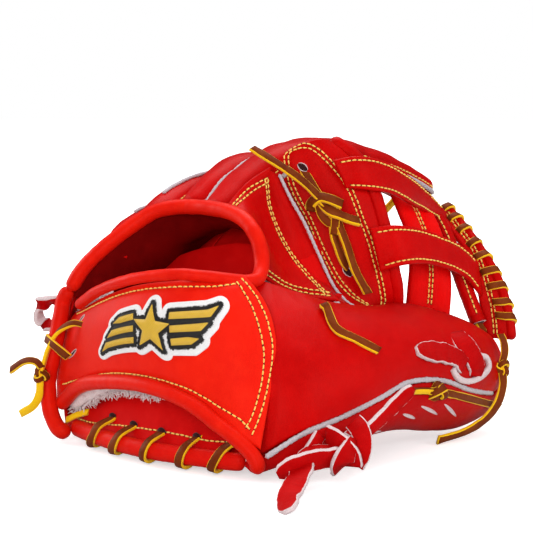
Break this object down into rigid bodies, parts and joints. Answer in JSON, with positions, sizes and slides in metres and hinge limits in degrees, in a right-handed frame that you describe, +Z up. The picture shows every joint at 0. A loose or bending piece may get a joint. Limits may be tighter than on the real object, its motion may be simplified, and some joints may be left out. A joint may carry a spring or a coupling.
{
  "type": "baseball fielding glove",
  "caption": "Left-hand leather fielding glove with separate laced finger stalls, an open web with two posts, a wrist strap over an open back, and a thumb and outer fingers that close",
  "frame": {"origin": "centre of the flat foot at the thumb-side heel corner, on the resting plane", "axes": "+X from the little-finger side towards the thumb side, +Y from the heel towards the fingertips, +Z up through the back of the hand with the glove resting palm down"},
  "size_m": [0.2573, 0.2625, 0.1861],
  "materials": {
    "shell_leather": "semi-gloss",
    "palm_leather": "satin",
    "binding": "semi-gloss",
    "thong": "matte",
    "lacing": "satin",
    "lining": "matte",
    "welt": "matte",
    "fleece": "matte",
    "felt": "matte",
    "emblem": "satin"
  },
  "bodies": {
    "glove_body": {"back_opening_binding": "binding", "emblem_patch": "emblem", "gusset_lower_welt": "welt", "gusset_welt": "welt", "heel_binding": "binding", "heel_lace": "lacing", "index_back_shell": "shell_leather", "index_gusset": "shell_leather", "index_lining": "lining", "index_middle_welt": "welt", "index_tip_lace": "lacing", "little_heel_pad": "felt", "little_side_roll": "binding", "little_side_shell": "shell_leather", "little_side_thong": "thong", "middle_back_shell": "shell_leather", "middle_lining": "lining", "middle_ring_welt": "welt", "palm_felt": "felt", "palm_lining": "lining", "palm_shell": "palm_leather", "strap_fleece": "fleece", "strap_lace": "lacing", "strap_lower_roll": "binding", "strap_upper_binding": "binding", "thumb_heel_pad": "felt", "web_base_lace": "lacing", "web_base_panel": "shell_leather", "web_cross_middle": "shell_leather", "web_cross_outer": "shell_leather", "web_edge_lace": "lacing", "web_edge_strip": "shell_leather", "web_post_lower": "shell_leather", "web_post_upper": "shell_leather", "wrist_strap": "shell_leather"},
    "thumb": {"thumb_back_shell": "shell_leather", "thumb_front_lace": "lacing", "thumb_front_shell": "palm_leather", "thumb_heel_thong": "thong", "thumb_lining": "lining", "thumb_tip_lace": "lacing", "thumb_tip_thong": "thong", "thumb_top_lace": "lacing", "thumb_welt": "welt"},
    "outer_fingers": {"ring_back_shell": "shell_leather", "little_back_shell": "shell_leather", "outer_palm_shell": "palm_leather", "ring_lining": "lining", "little_lining": "lining", "ring_little_welt": "welt", "little_tip_lace": "lacing"}
  },
  "joints": [
    {"name": "thumb_close", "type": "hinge", "parent": "glove_body", "child": "thumb", "pos_m": [-0.001, 0.005, 0.012], "axis": [-0.3231, 0.3916, 0.8615], "range_deg": [0, 22], "stiffness_Nm_per_rad": 1.2},
    {"name": "outer_close", "type": "hinge", "parent": "glove_body", "child": "outer_fingers", "pos_m": [-0.121, 0.215, 0.078], "axis": [-0.06, -0.9368, 0.3447], "range_deg": [0, 20], "stiffness_Nm_per_rad": 1.2}
  ]
}
